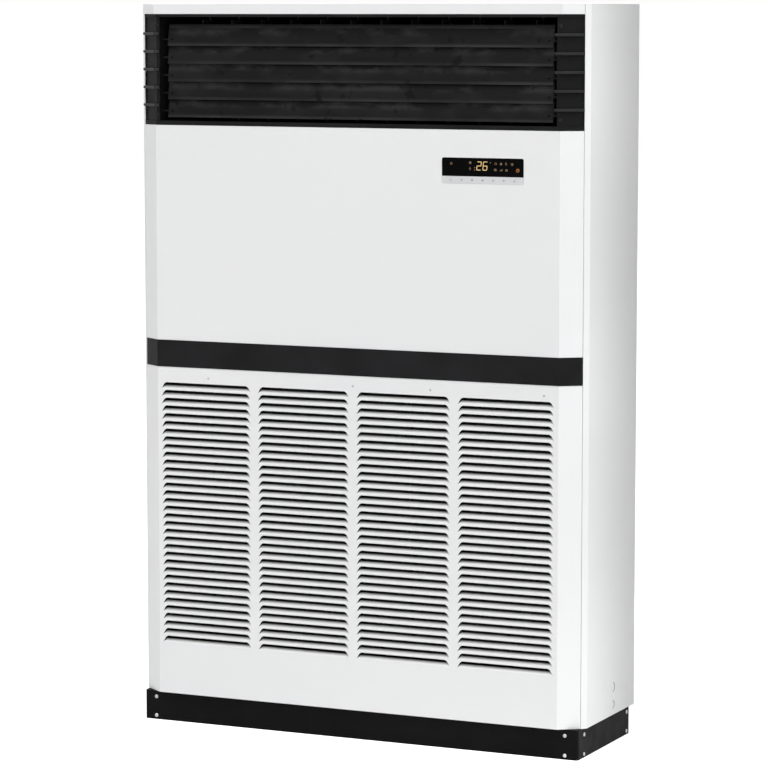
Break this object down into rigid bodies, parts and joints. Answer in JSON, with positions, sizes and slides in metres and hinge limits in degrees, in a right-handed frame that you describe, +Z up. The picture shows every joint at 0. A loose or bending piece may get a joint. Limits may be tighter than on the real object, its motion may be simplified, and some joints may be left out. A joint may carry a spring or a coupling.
{
  "type": "floor standing air conditioner",
  "caption": "Tall floor standing air conditioner with a bevelled white cabinet, pressed intake grille, black belt, tilting louvre outlet with swinging vanes, display with keys and twin fans.",
  "frame": {"origin": "middle of the footprint on the floor", "axes": "+Z up, -Y is the front with the outlet and display, +X is the viewer's right"},
  "size_m": [1.23, 0.38, 1.85],
  "materials": {
    "white_paint": "smooth white powder coat",
    "galvanised_sheet": "galvanised sheet",
    "base_paint": "satin black paint",
    "screw_steel": "zinc plated",
    "belt_gloss": "black gloss",
    "black_plastic": "fine moulded black",
    "duct_liner": "black lined sheet",
    "display_glass": "dark window",
    "key_silver": "satin silver",
    "circuit_board": "green board",
    "coil_fins": "fin pack",
    "copper": "copper tube",
    "motor_paint": "dark grey paint",
    "wheel_steel": "galvanised",
    "bearing_steel": "steel",
    "filter_plastic": "dark moulded frame and net"
  },
  "bodies": {
    "cabinet": {"base_frame": "base_paint", "base_pan": "galvanised_sheet", "cabinet_screws": "screw_steel", "left_side_panel": "white_paint", "right_side_panel": "white_paint", "back_panel": "galvanised_sheet", "top_cover": "white_paint", "upper_front_panel": "white_paint", "belt_trim": "belt_gloss", "outlet_frame": "black_plastic", "outlet_duct": "duct_liner", "display_window": "display_glass", "key_strip": "key_silver", "display_board": "circuit_board", "evaporator_coil": "coil_fins", "coil_end_plates": "galvanised_sheet", "coil_bends": "copper", "drain_pan": "galvanised_sheet", "fan_deck": "galvanised_sheet", "fan_housing_left": "galvanised_sheet", "fan_housing_right": "galvanised_sheet", "fan_motor": "motor_paint", "motor_hanger": "galvanised_sheet", "shaft_bearings": "bearing_steel", "electrical_box": "galvanised_sheet", "refrigerant_pipes": "copper", "filter_rails": "filter_plastic", "swing_motors": "black_plastic"},
    "intake_panel": {"intake_panel": "white_paint"},
    "air_filter_left": {"air_filter_left": "filter_plastic"},
    "air_filter_right": {"air_filter_right": "filter_plastic"},
    "fan_rotor": {"fan_shaft": "wheel_steel", "fan_wheel_left": "wheel_steel", "fan_wheel_right": "wheel_steel"},
    "louvre_blade_1": {"louvre_blade_1": "black_plastic"},
    "louvre_blade_2": {"louvre_blade_2": "black_plastic"},
    "louvre_blade_3": {"louvre_blade_3": "black_plastic"},
    "louvre_blade_4": {"louvre_blade_4": "black_plastic"},
    "louvre_blade_5": {"louvre_blade_5": "black_plastic"},
    "louvre_link": {"louvre_link": "black_plastic"},
    "vane_01": {"vane_01": "black_plastic"},
    "vane_02": {"vane_02": "black_plastic"},
    "vane_03": {"vane_03": "black_plastic"},
    "vane_04": {"vane_04": "black_plastic"},
    "vane_05": {"vane_05": "black_plastic"},
    "vane_06": {"vane_06": "black_plastic"},
    "vane_07": {"vane_07": "black_plastic"},
    "vane_08": {"vane_08": "black_plastic"},
    "vane_09": {"vane_09": "black_plastic"},
    "vane_10": {"vane_10": "black_plastic"},
    "vane_11": {"vane_11": "black_plastic"},
    "vane_12": {"vane_12": "black_plastic"},
    "vane_link": {"vane_link": "black_plastic"},
    "key_1": {"key_1": "key_silver"},
    "key_2": {"key_2": "key_silver"},
    "key_3": {"key_3": "key_silver"},
    "key_4": {"key_4": "key_silver"},
    "key_5": {"key_5": "key_silver"},
    "key_6": {"key_6": "key_silver"},
    "key_7": {"key_7": "key_silver"}
  },
  "joints": [
    {"name": "intake_panel_tilt", "type": "hinge", "parent": "cabinet", "child": "intake_panel", "pos_m": [0, -0.18, 0.084], "axis": [1, 0, 0], "range_deg": [0, 25]},
    {"name": "filter_left_lift", "type": "slide", "parent": "cabinet", "child": "air_filter_left", "axis": [0, 0, 1], "range_m": [0, 0.012]},
    {"name": "filter_right_lift", "type": "slide", "parent": "cabinet", "child": "air_filter_right", "axis": [0, 0, 1], "range_m": [0, 0.012]},
    {"name": "fan_spin", "type": "hinge", "parent": "cabinet", "child": "fan_rotor", "pos_m": [0, 0.015, 0.7], "axis": [1, 0, 0], "continuous": true},
    {"name": "louvre_1_tilt", "type": "hinge", "parent": "cabinet", "child": "louvre_blade_1", "pos_m": [0, -0.164, 1.7607], "axis": [-1, 0, 0], "range_deg": [0, 90]},
    {"name": "louvre_2_tilt", "type": "hinge", "parent": "cabinet", "child": "louvre_blade_2", "pos_m": [0, -0.164, 1.7155], "axis": [-1, 0, 0], "range_deg": [0, 90]},
    {"name": "louvre_3_tilt", "type": "hinge", "parent": "cabinet", "child": "louvre_blade_3", "pos_m": [0, -0.164, 1.6703], "axis": [-1, 0, 0], "range_deg": [0, 90]},
    {"name": "louvre_4_tilt", "type": "hinge", "parent": "cabinet", "child": "louvre_blade_4", "pos_m": [0, -0.164, 1.6251], "axis": [-1, 0, 0], "range_deg": [0, 90]},
    {"name": "louvre_5_tilt", "type": "hinge", "parent": "cabinet", "child": "louvre_blade_5", "pos_m": [0, -0.164, 1.5799], "axis": [-1, 0, 0], "range_deg": [0, 90]},
    {"name": "louvre_link_turn", "type": "hinge", "parent": "louvre_blade_3", "child": "louvre_link", "pos_m": [0.5328, -0.1541, 1.6802], "axis": [-1, 0, 0], "range_deg": [-90, 0]},
    {"name": "vane_01_swing", "type": "hinge", "parent": "cabinet", "child": "vane_01", "pos_m": [-0.45925, -0.069, 1.69], "axis": [0, 0, 1], "range_deg": [-40, 40]},
    {"name": "vane_02_swing", "type": "hinge", "parent": "cabinet", "child": "vane_02", "pos_m": [-0.37575, -0.069, 1.69], "axis": [0, 0, 1], "range_deg": [-40, 40]},
    {"name": "vane_03_swing", "type": "hinge", "parent": "cabinet", "child": "vane_03", "pos_m": [-0.29225, -0.069, 1.69], "axis": [0, 0, 1], "range_deg": [-40, 40]},
    {"name": "vane_04_swing", "type": "hinge", "parent": "cabinet", "child": "vane_04", "pos_m": [-0.20875, -0.069, 1.69], "axis": [0, 0, 1], "range_deg": [-40, 40]},
    {"name": "vane_05_swing", "type": "hinge", "parent": "cabinet", "child": "vane_05", "pos_m": [-0.12525, -0.069, 1.69], "axis": [0, 0, 1], "range_deg": [-40, 40]},
    {"name": "vane_06_swing", "type": "hinge", "parent": "cabinet", "child": "vane_06", "pos_m": [-0.04175, -0.069, 1.69], "axis": [0, 0, 1], "range_deg": [-40, 40]},
    {"name": "vane_07_swing", "type": "hinge", "parent": "cabinet", "child": "vane_07", "pos_m": [0.04175, -0.069, 1.69], "axis": [0, 0, 1], "range_deg": [-40, 40]},
    {"name": "vane_08_swing", "type": "hinge", "parent": "cabinet", "child": "vane_08", "pos_m": [0.12525, -0.069, 1.69], "axis": [0, 0, 1], "range_deg": [-40, 40]},
    {"name": "vane_09_swing", "type": "hinge", "parent": "cabinet", "child": "vane_09", "pos_m": [0.20875, -0.069, 1.69], "axis": [0, 0, 1], "range_deg": [-40, 40]},
    {"name": "vane_10_swing", "type": "hinge", "parent": "cabinet", "child": "vane_10", "pos_m": [0.29225, -0.069, 1.69], "axis": [0, 0, 1], "range_deg": [-40, 40]},
    {"name": "vane_11_swing", "type": "hinge", "parent": "cabinet", "child": "vane_11", "pos_m": [0.37575, -0.069, 1.69], "axis": [0, 0, 1], "range_deg": [-40, 40]},
    {"name": "vane_12_swing", "type": "hinge", "parent": "cabinet", "child": "vane_12", "pos_m": [0.45925, -0.069, 1.69], "axis": [0, 0, 1], "range_deg": [-40, 40]},
    {"name": "vane_link_turn", "type": "hinge", "parent": "vane_12", "child": "vane_link", "pos_m": [0.45925, -0.099, 1.57], "axis": [0, 0, 1], "range_deg": [-40, 40]},
    {"name": "key_1_press", "type": "slide", "parent": "cabinet", "child": "key_1", "axis": [0, 1, 0], "range_m": [0, 0.0008], "stiffness_N_per_m": 1500},
    {"name": "key_2_press", "type": "slide", "parent": "cabinet", "child": "key_2", "axis": [0, 1, 0], "range_m": [0, 0.0008], "stiffness_N_per_m": 1500},
    {"name": "key_3_press", "type": "slide", "parent": "cabinet", "child": "key_3", "axis": [0, 1, 0], "range_m": [0, 0.0008], "stiffness_N_per_m": 1500},
    {"name": "key_4_press", "type": "slide", "parent": "cabinet", "child": "key_4", "axis": [0, 1, 0], "range_m": [0, 0.0008], "stiffness_N_per_m": 1500},
    {"name": "key_5_press", "type": "slide", "parent": "cabinet", "child": "key_5", "axis": [0, 1, 0], "range_m": [0, 0.0008], "stiffness_N_per_m": 1500},
    {"name": "key_6_press", "type": "slide", "parent": "cabinet", "child": "key_6", "axis": [0, 1, 0], "range_m": [0, 0.0008], "stiffness_N_per_m": 1500},
    {"name": "key_7_press", "type": "slide", "parent": "cabinet", "child": "key_7", "axis": [0, 1, 0], "range_m": [0, 0.0008], "stiffness_N_per_m": 1500}
  ],
  "couplings": [
    {"joint": "louvre_1_tilt", "follows": "louvre_3_tilt", "ratio": 1},
    {"joint": "louvre_2_tilt", "follows": "louvre_3_tilt", "ratio": 1},
    {"joint": "louvre_4_tilt", "follows": "louvre_3_tilt", "ratio": 1},
    {"joint": "louvre_5_tilt", "follows": "louvre_3_tilt", "ratio": 1},
    {"joint": "louvre_link_turn", "follows": "louvre_3_tilt", "ratio": -1},
    {"joint": "vane_01_swing", "follows": "vane_12_swing", "ratio": 1},
    {"joint": "vane_02_swing", "follows": "vane_12_swing", "ratio": 1},
    {"joint": "vane_03_swing", "follows": "vane_12_swing", "ratio": 1},
    {"joint": "vane_04_swing", "follows": "vane_12_swing", "ratio": 1},
    {"joint": "vane_05_swing", "follows": "vane_12_swing", "ratio": 1},
    {"joint": "vane_06_swing", "follows": "vane_12_swing", "ratio": 1},
    {"joint": "vane_07_swing", "follows": "vane_12_swing", "ratio": 1},
    {"joint": "vane_08_swing", "follows": "vane_12_swing", "ratio": 1},
    {"joint": "vane_09_swing", "follows": "vane_12_swing", "ratio": 1},
    {"joint": "vane_10_swing", "follows": "vane_12_swing", "ratio": 1},
    {"joint": "vane_11_swing", "follows": "vane_12_swing", "ratio": 1},
    {"joint": "vane_link_turn", "follows": "vane_12_swing", "ratio": -1}
  ]
}
